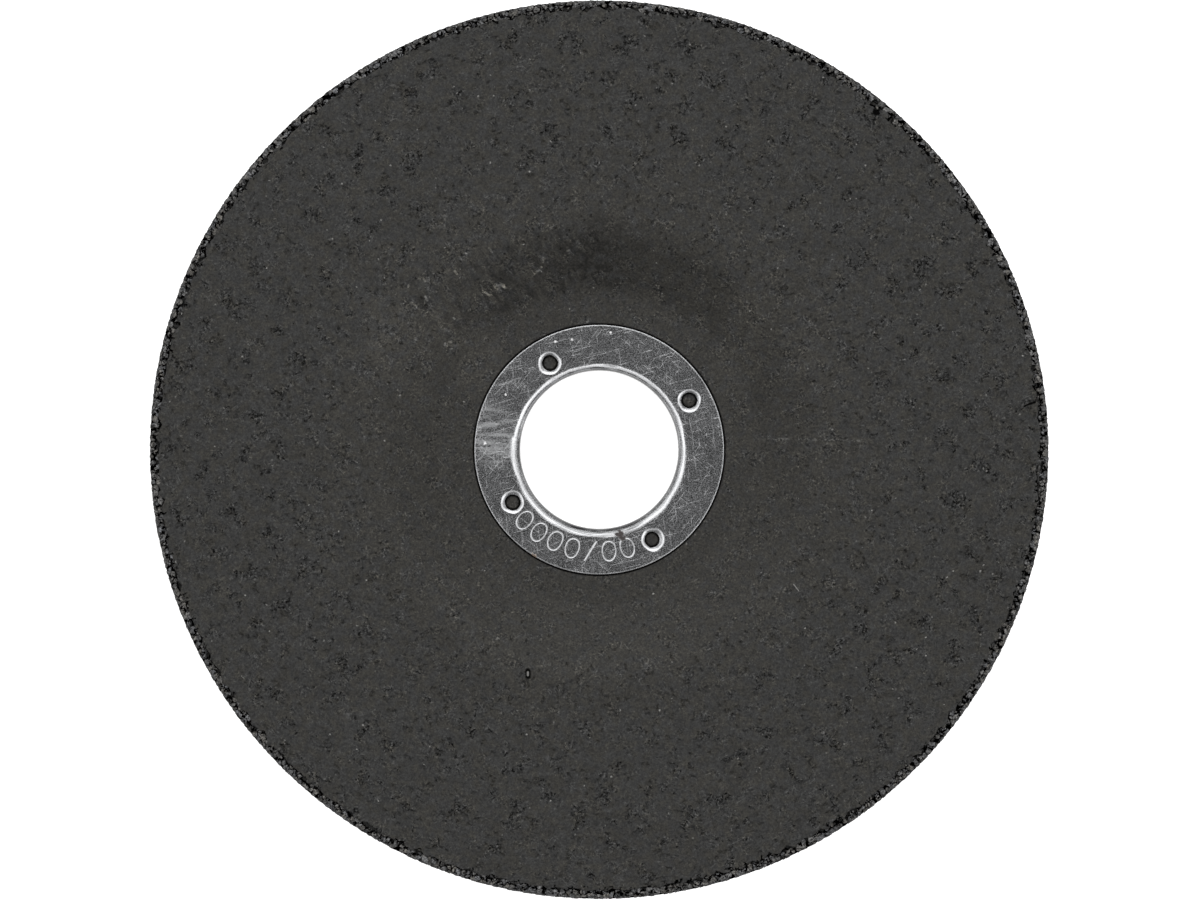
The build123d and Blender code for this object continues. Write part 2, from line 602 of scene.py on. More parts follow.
def make_centre_ring():
    """The pressed ring: turned from its section, wavy at the lip, staked through and stamped."""
    lip_end = bore_radius + lip_radius
    corners = [
        (bore_radius, collar_end_height, collar_end_round),
        (bore_radius, flange_top, lip_radius),
        (lip_end + lip_fade, flange_top, 0),
        (flange_radius - 0.3 * MM, flange_top, 0),
        (flange_radius, flange_top, flange_edge_round),
        (flange_radius, seat_height, 0),
        (bore_radius + sheet_thickness, seat_height, lip_radius - sheet_thickness),
        (bore_radius + sheet_thickness, collar_end_height, collar_end_round),
    ]

    def spacing(point):
        """Fine next to the lip, where it wavers."""
        beside_lip = point[1] > flange_top - 0.01 * MM and point[0] < lip_end + lip_fade
        return 0.12 * MM if beside_lip else 0.5 * MM

    section = divide_runs(rounded_section(corners, 0.1 * MM), spacing)
    ring = turn_section("centre_ring_finish", section, ring_steps)
    waver_lip(ring)
    combine(ring, at_staking_holes(make_burr), "UNION")
    combine(ring, at_staking_holes(make_punch), "DIFFERENCE")
    combine(ring, make_stamp(), "DIFFERENCE")
    pick(ring)
    bpy.ops.object.shade_smooth_by_angle(angle=math.radians(16))
    return ring


def waver_lip(ring):
    """Lets the lip's rounding begin further out or in round the bore, with one dent at the left."""
    places = vertex_places(ring)
    radius = np.hypot(places[:, 0], places[:, 1])
    angle = np.arctan2(places[:, 1], places[:, 0])
    waver = lip_drift * np.sin(angle)
    for waves in (2, 3, 5, 7, 11, 17, 26):
        height = chance.normal(0, lip_wave / waves**0.3) * MM
        waver += height * np.sin(angle * waves + chance.uniform(0, math.tau))
    degrees = np.degrees(angle) % 360
    waver += lip_dent * np.clip((degrees - 171) / 1.5, 0, 1) * np.clip((198 - degrees) / 20, 0, 1)
    lip_end = bore_radius + lip_radius
    rising = (radius - bore_radius) / lip_radius
    falling = (lip_end + lip_fade - radius) / lip_fade
    share = np.clip(np.minimum(rising, falling), 0, 1)
    below_lip = places[:, 2] < flange_top - lip_radius - 0.01 * MM
    underside = (places[:, 2] < seat_height + 0.01 * MM) & (radius > bore_radius + sheet_thickness - 0.01 * MM)
    share[below_lip | underside] = 0
    places[:, :2] *= (1 + waver * share / radius)[:, None]
    set_vertex_places(ring, places)


def make_burr(_):
    """The tool that adds one burr under the flange."""
    inside = seat_height + 0.2 * MM
    tip = seat_height - burr_length
    root = [(0, inside), (burr_root_radius, inside), (burr_root_radius, seat_height)]
    return turned_tool(root + [(burr_tip_radius, tip), (0, tip)])


def make_punch(index):
    """The pointed punch that cuts one hole, a little out of round at the mouth."""
    above = flange_top + 1 * MM
    shoulder = funnel[0][0] * MM + 0.4 * MM
    profile = [(0, above), (shoulder, above), (shoulder, flange_top + 0.02 * MM)]
    profile += [(radius * MM, flange_top - depth * MM) for radius, depth in funnel]
    profile += [(0, flange_top - funnel[-1][1] * MM)]
    punch = turned_tool(profile, 56)
    places = vertex_places(punch)
    angle = np.arctan2(places[:, 1], places[:, 0])
    out_of_round = 0.03 * MM * np.sin(3 * angle + index * 2) + 0.025 * MM * np.sin(5 * angle + index)
    at_mouth = (places[:, 2] < flange_top + 0.01 * MM) & (places[:, 2] > flange_top - 0.3 * MM)
    radius = np.maximum(np.hypot(places[:, 0], places[:, 1]), 0.01 * MM)
    places[:, :2] += places[:, :2] / radius[:, None] * (out_of_round * at_mouth)[:, None]
    places[:, :2] += np.array(punch_leans[index]) * MM * at_mouth[:, None]
    set_vertex_places(punch, places)
    return punch


def make_stamp():
    """The die for the flange's plain digits: wedge-edged figures laid along an arc, half sunk into the flange."""
    figures = []
    for index, figure in enumerate(stamp_text):
        deselect_all()
        if figure == "/":
            bpy.ops.mesh.primitive_cylinder_add(vertices=4, radius=stamp_groove, depth=stamp_height * 1.05)
            piece = bpy.context.object
            places = vertex_places(piece)[:, (0, 2, 1)]
            places[:, 0] += places[:, 1] * 0.5
        else:
            bpy.ops.mesh.primitive_torus_add(
                major_segments=36, minor_segments=4, major_radius=stamp_height / 2, minor_radius=stamp_groove
            )
            piece = bpy.context.object
            places = vertex_places(piece)
            rounding = np.abs(places[:, 1] / (stamp_height / 2)) ** 3
            places[:, 0] *= stamp_width / stamp_height * (1 + 0.12 * rounding)
        angle = stamp_first_angle + index * stamp_step
        lean = chance.normal(0, 0.03)
        across = places[:, 0] + places[:, 1] * lean
        along = places[:, 1] + stamp_radius + chance.normal(0, 0.06) * MM
        spread = np.empty_like(places)
        spread[:, 0] = along * math.cos(angle) + across * math.sin(angle)
        spread[:, 1] = along * math.sin(angle) - across * math.cos(angle)
        spread[:, 2] = flange_top + 0.004 * MM + places[:, 2] * stamp_depth / stamp_groove
        set_vertex_places(piece, spread)
        pick(piece)
        bpy.ops.object.mode_set(mode="EDIT")
        bpy.ops.mesh.select_all(action="SELECT")
        bpy.ops.mesh.normals_make_consistent(inside=False)
        bpy.ops.object.mode_set(mode="OBJECT")
        figures.append(piece)
    return join_pieces(figures)


# Materials


class Nodes:
    """A short way to write a material's nodes."""

    def __init__(self, name):
        self.material = bpy.data.materials.new(name)
        self.material.use_nodes = True
        self.tree = self.material.node_tree
        self.shader = self.tree.nodes["Principled BSDF"]
        self.place = self.add("ShaderNodeTexCoord").outputs["Object"]
        self.flat_place = self.vector("MULTIPLY", self.place, (1.0, 1.0, 0.0))

    @classmethod
    def on_tree(cls, tree):
        """The same short way for a tree that is there already."""
        nodes = cls.__new__(cls)
        nodes.tree = tree
        return nodes

    def add(self, kind, inputs=None, **settings):
        """A node with its settings, its inputs fixed or linked."""
        node = self.tree.nodes.new(kind)
        for key, value in settings.items():
            setattr(node, key, value)
        for key, value in (inputs or {}).items():
            self.feed(node.inputs[key], value)
        return node

    def feed(self, socket, value):
        """Links an output to a socket, or sets its value."""
        if isinstance(value, bpy.types.NodeSocket):
            self.tree.links.new(value, socket)
        else:
            socket.default_value = value

    def maths(self, operation, first, second=0.0):
        """One sum on two values."""
        return self.add("ShaderNodeMath", {0: first, 1: second}, operation=operation).outputs[0]

    def chain(self, operation, values):
        """One sum on several values, taken in turn."""
        result = values[0]
        for value in values[1:]:
            result = self.maths(operation, result, value)
        return result

    def times(self, *values):
        """The product of several values."""
        return self.chain("MULTIPLY", values)

    def plus(self, *values):
        """The sum of several values."""
        return self.chain("ADD", values)

    def most(self, *values):
        """The largest of several values."""
        return self.chain("MAXIMUM", values)

    def off(self, value, middle):
        """How far a value lies from a middle one, up or down."""
        return self.maths("ABSOLUTE", self.plus(value, -middle))

    def vector(self, operation, first, second=(0, 0, 0), output=0):
        """One sum on two vectors."""
        return self.add("ShaderNodeVectorMath", {0: first, 1: second}, operation=operation).outputs[output]

    def scaled(self, vector, factor):
        """A vector made longer or shorter."""
        return self.add("ShaderNodeVectorMath", {0: vector, "Scale": factor}, operation="SCALE").outputs[0]

    def part(self, vector, axis):
        """One of a vector's three values."""
        return self.add("ShaderNodeSeparateXYZ", {0: vector}).outputs[axis]

    def ramp(self, value, low, high, to_low=0.0, to_high=1.0):
        """A value's range from low to high, spread smoothly over a new range."""
        inputs = {"Value": value, "From Min": low, "From Max": high, "To Min": to_low, "To Max": to_high}
        return self.add("ShaderNodeMapRange", inputs, interpolation_type="SMOOTHSTEP").outputs[0]

    def fade(self, share, level):
        """1 where a share is 0, turning into another level where the share is 1."""
        return self.ramp(share, 0.0, 1.0, 1.0, level)

    def noise(self, size, detail=2.0, roughness=0.5, place=None):
        """Cloudy noise whose lumps are about one size across."""
        inputs = {"Vector": place or self.place, "Scale": 1 / size, "Detail": detail, "Roughness": roughness}
        return self.add("ShaderNodeTexNoise", inputs).outputs["Fac"]

    def streaks(self, degrees, length, width, detail=3.0, roughness=0.6):
        """Noise drawn out into streaks of one length and width, at an angle to the X axis."""
        turn = (0.0, 0.0, math.radians(degrees))
        inputs = {"Vector": self.place, "Rotation": turn, "Scale": (length, width, length)}
        grained = self.add("ShaderNodeMapping", inputs, vector_type="TEXTURE").outputs[0]
        return self.noise(1.0, detail, roughness, grained)

    def bent(self, size, detail, reach):
        """The place moved about by cloudy noise of one size, by up to half a reach each way."""
        wander = self.add("ShaderNodeTexNoise", {"Vector": self.place, "Scale": 1 / size, "Detail": detail})
        centred = self.vector("SUBTRACT", wander.outputs["Color"], (0.5, 0.5, 0.5))
        return self.vector("ADD", self.place, self.scaled(centred, reach))

    def cells(self, size, place=None):
        """Scattered cells of about one size: the distance to each cell's middle, and two chances of its own."""
        node = self.add("ShaderNodeTexVoronoi", {"Vector": place or self.place, "Scale": 1 / size})
        own = self.add("ShaderNodeSeparateColor", {0: node.outputs["Color"]})
        return node.outputs["Distance"], own.outputs[0], own.outputs[1]

    def mix(self, share, first, second):
        """One colour turning into another."""
        node = self.add("ShaderNodeMix", data_type="RGBA")
        self.feed(node.inputs[0], share)
        self.feed(node.inputs[6], first)
        self.feed(node.inputs[7], second)
        return node.outputs[2]

    def radius(self):
        """How far a point lies from the disc's axis."""
        return self.vector("LENGTH", self.flat_place, output="Value")

    def around(self):
        """The angle of the place round the disc's axis."""
        return self.maths("ARCTAN2", self.part(self.place, 1), self.part(self.place, 0))

    def round_noise(self, per_turn, per_metre):
        """Noise that changes so often with the angle and with the radius."""
        unrolled = self.add("ShaderNodeCombineXYZ", {0: self.around(), 1: self.radius()}).outputs[0]
        return self.noise(1.0, 2.0, 0.6, self.vector("MULTIPLY", unrolled, (per_turn, per_metre, 0.0)))

    def spot(self, x, y, radius, blur=0.5):
        """1 at a place on the face or the ring and 0 beyond a radius from it, with a ragged edge."""
        distance = self.vector("DISTANCE", self.flat_place, (x * MM, y * MM, 0.0), "Value")
        shift = 0.35 * radius * MM
        ragged = self.ramp(self.noise(radius * 0.7 * MM), 0.3, 0.7, -shift, shift)
        return self.ramp(self.plus(distance, ragged), radius * MM, radius * (1 - blur) * MM)

    def spots(self, places):
        """1 at each of several spots and 0 elsewhere."""
        return self.most(*[self.spot(*place) for place in places])

    def stroke(self, start, end, width):
        """1 along a fine straight line between two places and 0 away from it."""
        start = np.array((*start, 0.0)) * MM
        end = np.array((*end, 0.0)) * MM
        length = float(np.linalg.norm(end - start))
        along = (end - start) / length
        from_start = self.vector("SUBTRACT", self.flat_place, tuple(start))
        reach = self.vector("DOT_PRODUCT", from_start, tuple(along), "Value")
        reach = self.maths("MINIMUM", self.most(reach, 0.0), length)
        nearest = self.vector("ADD", self.scaled(tuple(along), reach), tuple(start))
        distance = self.vector("DISTANCE", self.flat_place, nearest, "Value")
        return self.ramp(distance, 0.5 * width * MM, 0.2 * width * MM)

    def strokes(self, lines):
        """1 along each of several strokes and 0 elsewhere."""
        return self.most(*[self.stroke(*line) for line in lines])

    def finish(self, colour, roughness, specular, height, depth):
        """Feeds the shader, and lets a height field of one depth raise and lower the surface."""
        bump = self.add("ShaderNodeBump", {"Height": height, "Strength": 1.0, "Distance": depth})
        self.feed(self.shader.inputs["Base Color"], colour)
        self.feed(self.shader.inputs["Roughness"], roughness)
        self.feed(self.shader.inputs["Specular IOR Level"], specular)
        self.feed(self.shader.inputs["Normal"], bump.outputs[0])
        return self.material


def grey(level):
    """A neutral colour."""
    return (level, level, level, 1.0)


def warm(level):
    """The abrasive's slightly warm grey."""
    return (level * 1.015, level, level * 0.955, 1.0)


def mesh_openings(nodes):
    """1 in the middle of the glass mesh's openings and 0 over its strands, with wavering strands."""
    shares = []
    for across, phase in mesh_counts:
        along = nodes.vector("DOT_PRODUCT", nodes.place, across, "Value")
        waver = nodes.ramp(nodes.noise(2.5 * MM), 0.3, 0.7, -0.09, 0.09)
        to_middle = nodes.maths("PINGPONG", nodes.plus(along, -phase, waver), 0.5)
        shares.append(nodes.ramp(to_middle, opening_half_width, 0.2))
    return nodes.times(*shares)


def crevices(nodes):
    """1 along the gaps that wind between the bare rim's grains and into the skin's edge, where their shade is
    painted black.
    """
    inputs = {"Vector": nodes.bent(0.5 * MM, 3.0, 0.75 * MM), "Scale": 1 / crevice_spacing}
    edge = nodes.add("ShaderNodeTexVoronoi", inputs, feature="DISTANCE_TO_EDGE").outputs["Distance"]
    width = nodes.ramp(nodes.noise(0.8 * MM, 1.0), 0.38, 0.65, -0.02, 0.135)
    beside_skin = nodes.off(nodes.radius(), skin_radius + 0.15 * MM)
    width = nodes.plus(width, nodes.ramp(beside_skin, 0.4 * MM, 0.1 * MM, 0.0, 0.03))
    return nodes.ramp(nodes.maths("SUBTRACT", edge, width), 0.0, -0.03)


def mark_slope(nodes, tone):
    """The slope's folds in painted light and shade, heaps of painted glints and glinting dashes at the upper left,
    painted shade at its top and painted light at its sides.
    """
    # Folds drawn as painted light and shade
    broken = nodes.ramp(nodes.noise(3.0 * MM), 0.35, 0.6, 0.25, 1.0)
    folds = nodes.ramp(nodes.streaks(-52, 2.3 * MM, 0.8 * MM), 0.38, 0.64, -0.5, 0.42)
    tone = nodes.times(tone, nodes.plus(1.0, nodes.times(nodes.stroke(*fold_band), broken, folds)))
    # Painted glints, gathered in heaps
    glint_heaps = nodes.plus(nodes.strokes(painted_glint_heaps), nodes.times(nodes.stroke(*faint_painted_glint_heap), 0.4))
    glint_heap_field = nodes.streaks(-40, 0.6 * MM, 0.34 * MM, 3.0, 0.7)
    glint_heap_share = nodes.plus(glint_heap_field, nodes.ramp(glint_heaps, 0.0, 1.0, -0.2, 0.05))
    tone = nodes.plus(tone, nodes.ramp(glint_heap_share, 0.57, 0.73, 0.0, 0.17))
    # Painted glints in short dashes
    dashes = 0.0
    for x, y, degrees, length, strength in painted_glint_dashes:
        half = 0.5 * length * np.array((math.cos(math.radians(degrees)), math.sin(math.radians(degrees))))
        dash = nodes.stroke((x - half[0], y - half[1]), (x + half[0], y + half[1]), dash_width)
        dashes = nodes.plus(dashes, nodes.times(dash, strength))
    tone = nodes.plus(tone, nodes.times(dashes, nodes.ramp(nodes.noise(0.3 * MM), 0.35, 0.6, 0.05, 0.15)))
    # Painted shade on the top of the slope, painted light on its upper left and right
    blotted = nodes.ramp(nodes.noise(1.3 * MM, 3.0, 0.65), 0.38, 0.62, 0.08, 0.6)
    tone = nodes.times(tone, nodes.fade(nodes.times(nodes.spot(*painted_shade_top), blotted), 0.0))
    for place, level in painted_light_sides:
        tone = nodes.times(tone, nodes.fade(nodes.spot(*place), level))
    return tone


def add_glints(nodes, colour, gathered, outer, patches):
    """Painted glints: single pale specks of no even shape for light off bare grains, and a few short pale fibres
    among the flecks.
    """
    distance, own_chance, own_tone = nodes.cells(glint_size, nodes.bent(0.25 * MM, 2.0, 0.45 * MM))
    likely = nodes.plus(own_chance, nodes.times(gathered, 0.045), nodes.times(outer, 0.012))
    glint = nodes.times(nodes.ramp(distance, 0.4, 0.12), nodes.ramp(likely, 0.994, 1.0))
    brightness = nodes.plus(0.08, nodes.times(nodes.maths("POWER", own_tone, 3.0), 0.85))
    # Painted highlight: the glints' bright colour
    colour = nodes.mix(nodes.times(glint, brightness), colour, warm(glint_level))
    for degrees in (25, 75, 130):
        fibres = nodes.ramp(nodes.streaks(degrees, 1.3 * MM, 0.17 * MM, 0.0, 0.5), 0.76, 0.82)
        colour = nodes.mix(nodes.times(fibres, patches, 0.4), colour, warm(fibre_level))
    return colour


def make_abrasive():
    """Dark grey abrasive in resin: fine grain, dark flecks with painted shade in the mesh's openings, painted
    glints of bare grain.
    """
    nodes = Nodes("resin_abrasive_finish")
    radius = nodes.radius()
    outer = nodes.ramp(radius, 32 * MM, 44 * MM, 0.3, 1.0)
    speckle = nodes.cells(speckle_size)[1]
    grain = nodes.noise(grain_size, 3.0, 0.7)

    # Flecks: small ragged gaps between grains, gathered in patches, their shade painted near black
    patches = nodes.ramp(nodes.noise(patch_size, 3.0), 0.46, 0.61)
    patchy = nodes.plus(0.1, nodes.times(patches, 0.35), nodes.times(mesh_openings(nodes), patches, 0.55))
    gathered = nodes.times(outer, patchy)
    fleck_field = nodes.noise(fleck_size, 3.0, 0.75)
    fleck = nodes.ramp(nodes.plus(fleck_field, nodes.times(gathered, 0.17)), 0.69, 0.77)

    # The face is finely grained, rougher where the flecks gather, and softly smudged
    fine = nodes.plus(nodes.ramp(speckle, 0.0, 1.0, -0.010, 0.010), nodes.ramp(grain, 0.25, 0.75, -0.011, 0.011))
    tone = nodes.plus(plain_level, nodes.times(fine, nodes.plus(0.66, nodes.times(patchy, 1.1))))
    crumbs = nodes.ramp(nodes.noise(grain_size, 3.0, 0.8), 0.56, 0.72, 0.0, 0.072)
    tone = nodes.plus(tone, nodes.times(crumbs, nodes.plus(0.15, nodes.times(patchy, 1.35))))
    blotches = nodes.ramp(nodes.noise(blotch_size, 4.0, 0.6), 0.3, 0.7, 0.94, 1.06)
    smudges = nodes.ramp(nodes.streaks(15, 1.9 * MM, 1.0 * MM, 4.0, 0.65), 0.32, 0.68, 0.88, 1.12)
    in_patches = nodes.ramp(gathered, 0.0, 1.0, 1.02, 0.9)
    tone = nodes.times(tone, blotches, smudges, in_patches)
    tone = nodes.times(tone, nodes.ramp(radius, 22.5 * MM, 26 * MM, 0.97, 1.02))
    wisps = nodes.ramp(nodes.streaks(22, 2.4 * MM, 0.42 * MM, 2.0), 0.64, 0.74, 0.0, 0.45)
    tone = nodes.times(tone, nodes.fade(nodes.times(wisps, outer), 0.0))
    tone = mark_slope(nodes, tone)

    # Warmer in places, and more so towards the hub
    towards_hub = nodes.ramp(radius, 29 * MM, 42 * MM, 0.09, 0.0)
    warmth = nodes.plus(nodes.noise(1.3 * MM), towards_hub, nodes.times(patchy, -0.05))
    tint = nodes.mix(nodes.ramp(warmth, 0.36, 0.66), (1.0, 1.0, 0.98, 1.0), (1.06, 0.998, 0.85, 1.0))
    colour = nodes.mix(tone, grey(0.0), tint)
    # Painted shade: the flecks near black
    colour = nodes.mix(nodes.times(fleck, 0.8), colour, warm(fleck_shade_level))
    colour = add_glints(nodes, colour, gathered, outer, patches)

    # Single marks
    # Painted shade in the pits and the crack
    hollow = nodes.most(nodes.strokes(hollow_strokes), nodes.spot(*hollow_spot))
    colour = nodes.mix(hollow, colour, warm(hollow_shade_level))
    colour = nodes.mix(nodes.times(nodes.strokes(pale_strokes), 0.6), colour, warm(0.3))
    scratch = nodes.times(nodes.stroke(*face_scratch), nodes.ramp(grain, 0.45, 0.62, 0.0, 0.6))
    colour = nodes.mix(scratch, colour, warm(0.12))

    # The gaps between the bare rim's grains, the bed below them and the gap round the ring are painted near black
    # as shade
    near_rim = nodes.plus(radius, nodes.ramp(nodes.noise(1.4 * MM), 0.35, 0.65, -0.45 * MM, 0.45 * MM))
    gaps = nodes.times(crevices(nodes), nodes.ramp(near_rim, skin_radius - 0.3 * MM, skin_radius - 0.1 * MM))
    bed = nodes.ramp(radius, skin_radius + 0.3 * MM, skin_radius + 0.4 * MM)
    seat_gap_shade = nodes.ramp(nodes.off(radius, flange_radius), 0.17 * MM, 0.11 * MM)
    painted_shade = nodes.most(gaps, bed, seat_gap_shade)
    colour = nodes.mix(painted_shade, colour, grey(gap_shade_level))
    specular = nodes.ramp(nodes.most(painted_shade, fleck, hollow), 0.0, 1.0, 0.3, 0.0)
    height = nodes.plus(nodes.times(grain, 0.5), nodes.times(speckle, 0.12), nodes.times(fleck, -0.7))
    return nodes.finish(colour, 0.6, specular, height, 0.08 * MM)


def make_bare_grain():
    """Broken grains of the rim, each with its own tone, a few of them pale as painted glints, with painted black
    shade in the gaps between.
    """
    nodes = Nodes("bare_grain_finish")
    radius = nodes.radius()
    tone = nodes.add("ShaderNodeAttribute", attribute_name="grain_tone").outputs["Fac"]
    crumbs = nodes.noise(0.28 * MM, 3.0, 0.8)
    level = nodes.times(nodes.ramp(tone, 0.0, 0.9, 0.045, 0.085), nodes.ramp(crumbs, 0.38, 0.64, 0.0, 2.9))
    level = nodes.times(level, nodes.ramp(radius, disc_radius - 0.5 * MM, disc_radius - 0.15 * MM, 1.0, 0.5))
    hue = nodes.maths("FRACT", nodes.times(tone, 7.3))
    colour = nodes.mix(level, grey(0.0), nodes.mix(hue, (0.98, 1.0, 1.05, 1.0), (1.06, 1.0, 0.9, 1.0)))
    # Painted glints: a few pale grains
    painted_glint = nodes.times(nodes.ramp(tone, 0.8, 0.9), nodes.ramp(crumbs, 0.53, 0.6))
    colour = nodes.mix(nodes.times(painted_glint, 0.6), colour, grey(0.25))
    inner = nodes.ramp(radius, disc_radius - 0.25 * MM, disc_radius - 0.55 * MM, 0.6, 1.0)
    # Painted shade: the gaps between grains near black
    gaps = nodes.times(crevices(nodes), inner)
    colour = nodes.mix(gaps, colour, grey(gap_shade_level))
    specular = nodes.ramp(gaps, 0.0, 1.0, 0.4, 0.0)
    return nodes.finish(colour, 0.6, specular, nodes.plus(crumbs, nodes.times(gaps, -1.0)), 0.1 * MM)


def northerly(nodes):
    """1 at the photo's top of the ring, -1 at its bottom."""
    return nodes.maths("DIVIDE", nodes.part(nodes.place, 1), nodes.radius())


def steel_wear_and_painted_light(nodes, mottle, rings, on_lip, crest_painted_highlight, off_crest):
    """The steel's level where it was pressed: painted highlights along the lip's crest and at its top, lined at
    its foot, painted shade on the lip at the bottom and inside at the top, dull in the stamp.
    """
    radius = nodes.radius()
    at_bottom = nodes.times(on_lip, nodes.ramp(nodes.part(nodes.place, 1), -9 * MM, -11.5 * MM))
    # Painted highlight along the lip's crest
    crest = nodes.times(on_lip, nodes.ramp(off_crest, 0.5 * MM, 0.34 * MM))
    wear_and_painted_light = nodes.ramp(mottle, 0.3, 0.7, 0.45, 0.65)
    wear_and_painted_light = nodes.plus(wear_and_painted_light, nodes.times(crest, 0.17), nodes.times(on_lip, -0.1))
    wear_and_painted_light = nodes.plus(wear_and_painted_light, nodes.ramp(radius, bore_radius + 0.12 * MM, bore_radius + 0.28 * MM, -0.07, 0.05))
    lines_depth = nodes.times(on_lip, nodes.ramp(at_bottom, 0.0, 1.0, 0.35, 1.0))
    wear_and_painted_light = nodes.plus(wear_and_painted_light, nodes.times(lines_depth, nodes.ramp(rings, 0.35, 0.65, -0.4, 0.3)))
    # Painted shade inside the lip at the top, and on the lip at the bottom
    at_top = nodes.ramp(northerly(nodes), 0.35, 0.85)
    shaded = nodes.times(at_top, on_lip, nodes.ramp(radius, bore_radius + 0.5 * MM, bore_radius + 0.4 * MM))
    wear_and_painted_light = nodes.times(wear_and_painted_light, nodes.fade(at_bottom, 0.58), nodes.fade(shaded, 0.45))
    # Painted highlight where the crest is pale at the top
    wear_and_painted_light = nodes.plus(wear_and_painted_light, nodes.times(crest_painted_highlight, 0.2))
    off_middle = nodes.off(nodes.around(), stamp_middle)
    in_sweep = nodes.ramp(off_middle, stamp_half_sweep, stamp_half_sweep - math.radians(1))
    past_lip = nodes.ramp(radius, stamp_radius - 1.8 * MM, stamp_radius - 1.7 * MM)
    wear_and_painted_light = nodes.times(wear_and_painted_light, nodes.fade(nodes.times(in_sweep, past_lip), 0.72))
    return nodes.times(wear_and_painted_light, nodes.ramp(radius, flange_radius - 0.1 * MM, flange_radius - 0.03 * MM, 1.0, 0.55))


def make_ring_steel():
    """Thin plated sheet: dulled and scratched, with smears, pale specks, rust and a brown stain."""
    nodes = Nodes("ring_steel_finish")
    mottle = nodes.noise(0.18 * MM, 2.0, 0.6)
    clouds = nodes.noise(1.6 * MM, 4.0, 0.65)
    rings = nodes.round_noise(3.0, 9000.0)
    scratches = 0.0
    for degrees, least in ((15, 0.69), (52, 0.71), (98, 0.7), (141, 0.71)):
        lines = nodes.streaks(degrees, 3.6 * MM, 0.1 * MM, 1.0, 0.5)
        scratches = nodes.plus(scratches, nodes.ramp(lines, least, least + 0.06))
    smear_place = nodes.vector("MULTIPLY", nodes.place, (1.0, 0.75, 0.0))
    smear_reach = nodes.vector("DISTANCE", smear_place, (-14.6 * MM, 1.6 * MM, 0.0), "Value")
    smear_field = nodes.ramp(nodes.streaks(0, 5.5 * MM, 0.75 * MM), 0.35, 0.65)
    smear = nodes.times(nodes.ramp(smear_reach, 4.5 * MM, 2.0 * MM), smear_field)
    specks = nodes.spots(ring_specks)
    stain = nodes.spots(ring_stain)
    rust = nodes.spot(*ring_rust)

    # The lip, whose crest lies further in at the top, where a painted highlight makes it pale
    radius = nodes.radius()
    to_north = northerly(nodes)
    lip_end = bore_radius + 1.35 * MM
    on_lip = nodes.ramp(nodes.plus(radius, nodes.times(to_north, -lip_drift)), lip_end, lip_end - 0.25 * MM)
    waver = nodes.ramp(nodes.round_noise(4.0, 0.0), 0.3, 0.7, -0.16 * MM, 0.16 * MM)
    crest_drift = nodes.times(to_north, -0.7 * lip_drift)
    off_crest = nodes.off(nodes.plus(radius, waver, crest_drift), bore_radius + 0.75 * MM)
    # Painted highlight on the crest at the top
    crest_painted_highlight = nodes.times(nodes.ramp(to_north, 0.35, 0.85), on_lip, nodes.ramp(off_crest, 0.32 * MM, 0.12 * MM))

    # Dulled on the flange, worn where it was pressed with painted light and shade on the lip, and painted shade
    # deep in the holes and the bore
    height_up = nodes.part(nodes.place, 2)
    pressed = nodes.most(on_lip, nodes.ramp(height_up, flange_top - 0.005 * MM, flange_top - 0.03 * MM))
    deep_painted_shade = nodes.ramp(height_up, flange_top - 0.3 * MM, flange_top - 0.75 * MM)
    dulled = nodes.plus(nodes.ramp(mottle, 0.3, 0.7, 0.28, 0.505), nodes.ramp(clouds, 0.3, 0.7, -0.08, 0.08))
    dulled = nodes.plus(dulled, nodes.times(scratches, 0.12), nodes.times(smear, 0.16))
    wear_and_painted_light = steel_wear_and_painted_light(nodes, mottle, rings, on_lip, crest_painted_highlight, off_crest)
    level = nodes.add("ShaderNodeMix", {0: pressed, 2: dulled, 3: wear_and_painted_light}).outputs[0]
    # Painted shade deep in the holes and the bore
    level = nodes.times(level, nodes.fade(deep_painted_shade, 0.2))
    colour = nodes.mix(level, grey(0.0), (0.985, 0.995, 1.015, 1.0))
    colour = nodes.mix(nodes.times(specks, 0.9), colour, grey(0.85))
    blotted = nodes.ramp(mottle, 0.35, 0.65, 0.4, 1.6)
    colour = nodes.mix(nodes.times(stain, 0.95), colour, nodes.mix(blotted, grey(0.0), (0.06, 0.05, 0.048, 1.0)))
    colour = nodes.mix(nodes.times(rust, 0.9), colour, nodes.mix(blotted, grey(0.0), (0.26, 0.19, 0.14, 1.0)))
    dull = nodes.most(stain, rust, specks)
    # The painted highlight is also less metallic
    nodes.feed(nodes.shader.inputs["Metallic"], nodes.fade(nodes.most(dull, nodes.times(crest_painted_highlight, 0.65)), 0.0))
    roughness = nodes.plus(nodes.ramp(mottle, 0.3, 0.7, 0.2, 0.3), nodes.times(smear, 0.1), nodes.times(dull, 0.4))
    specular = nodes.ramp(dull, 0.0, 1.0, 0.5, 0.1)
    height = nodes.plus(nodes.times(mottle, 0.8), nodes.times(scratches, -0.15))
    height = nodes.plus(height, nodes.times(nodes.strokes(ring_cuts), -1.5), nodes.times(on_lip, rings, 0.25))
    return nodes.finish(colour, roughness, specular, height, 0.025 * MM)


# Floor, lights and camera


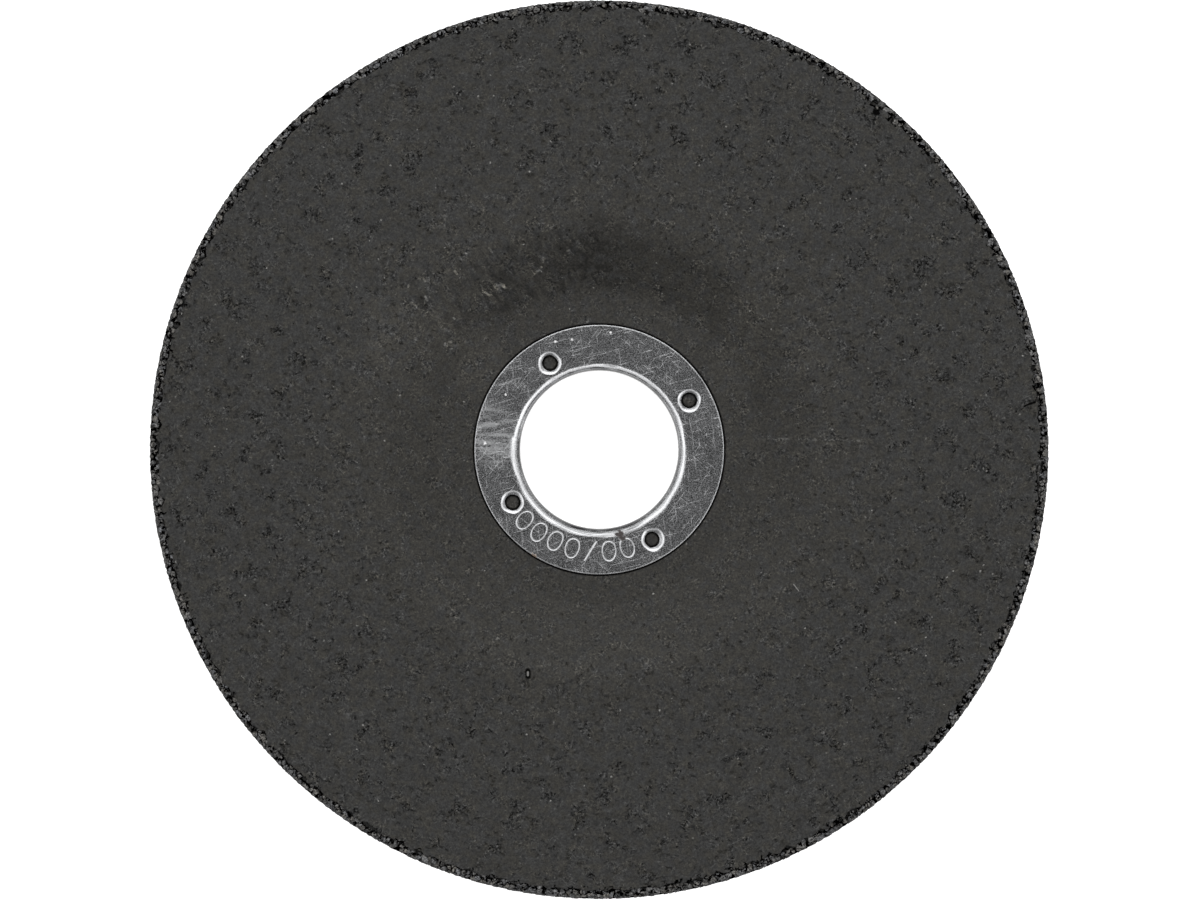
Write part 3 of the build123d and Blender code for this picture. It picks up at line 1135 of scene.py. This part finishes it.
def make_floor():
    """A white floor that shows as white to the camera and in reflections, and keeps the disc's shadow."""
    deselect_all()
    bpy.ops.mesh.primitive_plane_add(size=3.0, location=(0, 0, -0.0002))
    floor = bpy.context.object
    floor.name = "floor"
    nodes = Nodes("floor_white")
    path = nodes.add("ShaderNodeLightPath").outputs
    seen = nodes.most(path["Is Camera Ray"], path["Is Glossy Ray"], path["Is Transmission Ray"])
    shader = nodes.shader.inputs
    shader["Base Color"].default_value = grey(0.8)
    shader["Roughness"].default_value = 1.0
    shader["Specular IOR Level"].default_value = 0.0
    shader["Emission Color"].default_value = grey(1.0)
    nodes.feed(shader["Emission Strength"], nodes.times(seen, 0.8))
    floor.data.materials.append(nodes.material)
    floor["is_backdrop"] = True


def make_lights():
    """A light tent, brightest in a band high up and dim overhead round the camera, and a soft light beyond."""
    world = bpy.data.worlds.new("tent")
    bpy.context.scene.world = world
    world.use_nodes = True
    nodes = Nodes.on_tree(world.node_tree)
    direction = nodes.add("ShaderNodeTexCoord").outputs["Generated"]
    across, away, up = [nodes.part(direction, axis) for axis in range(3)]
    overhead = nodes.ramp(up, 0.925, 0.965, 0.0, tent_overhead - tent_band)
    strength = nodes.plus(nodes.ramp(up, 0.5, 0.75, tent_low, tent_band), overhead)
    strength = nodes.times(strength, nodes.ramp(away, -0.3, -0.55, 1.0, tent_near_side))
    strength = nodes.times(strength, nodes.ramp(across, -0.3, -0.7, 1.0, tent_left_side))
    strength = nodes.times(strength, nodes.ramp(across, 0.3, 0.7, 1.0, tent_right_side))
    corner = nodes.vector("DOT_PRODUCT", direction, tent_corner_direction, "Value")
    strength = nodes.plus(strength, nodes.ramp(corner, 0.9, 0.98, 0.0, tent_corner))
    strength = nodes.most(strength, nodes.add("ShaderNodeLightPath").outputs["Is Camera Ray"])
    background = world.node_tree.nodes["Background"]
    background.inputs["Color"].default_value = grey(1.0)
    nodes.feed(background.inputs["Strength"], strength)
    light = bpy.data.lights.new("key_light", "AREA")
    light.size = key_light_size
    light.energy = key_light_power
    lamp = bpy.data.objects.new("key_light", light)
    bpy.context.scene.collection.objects.link(lamp)
    lamp.location = key_light_place
    lamp.rotation_euler = (-lamp.location).to_track_quat("-Z", "Y").to_euler()


def make_camera():
    """The photo's view, straight down on the disc."""
    photo_width = 1200
    photo_height = 900
    disc_centre_column = 599.2
    disc_centre_row = 449.67
    pixel = 0.1388 * MM
    distance = 600 * MM
    camera = bpy.data.cameras.new("camera")
    camera.sensor_fit = "HORIZONTAL"
    camera.sensor_width = 36
    camera.lens = camera.sensor_width * distance / (photo_width * pixel)
    eye = bpy.data.objects.new("camera", camera)
    bpy.context.scene.collection.objects.link(eye)
    across = (photo_width / 2 - disc_centre_column) * pixel
    down = (photo_height / 2 - disc_centre_row) * pixel
    eye.location = (across, -down, face_height + distance)
    bpy.context.scene.camera = eye


def dress(piece, material):
    """Gives a finished piece its one material and its place on the body."""
    piece.data.materials.clear()
    piece.data.materials.append(material)
    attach(piece, "root")


wheel = make_abrasive_wheel()
dress(wheel, make_abrasive())
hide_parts("abrasive_wheel")
dress(make_rim_grains(), make_bare_grain())
ring = make_centre_ring()
dress(ring, make_ring_steel())
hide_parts("centre_ring")

make_floor()
make_lights()
make_camera()
bpy.context.scene.view_settings.view_transform = "Standard"

boxes = {"cad": cad_box, "visual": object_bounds()}
{name: [list(corner) for corner in box] for name, box in boxes.items()}
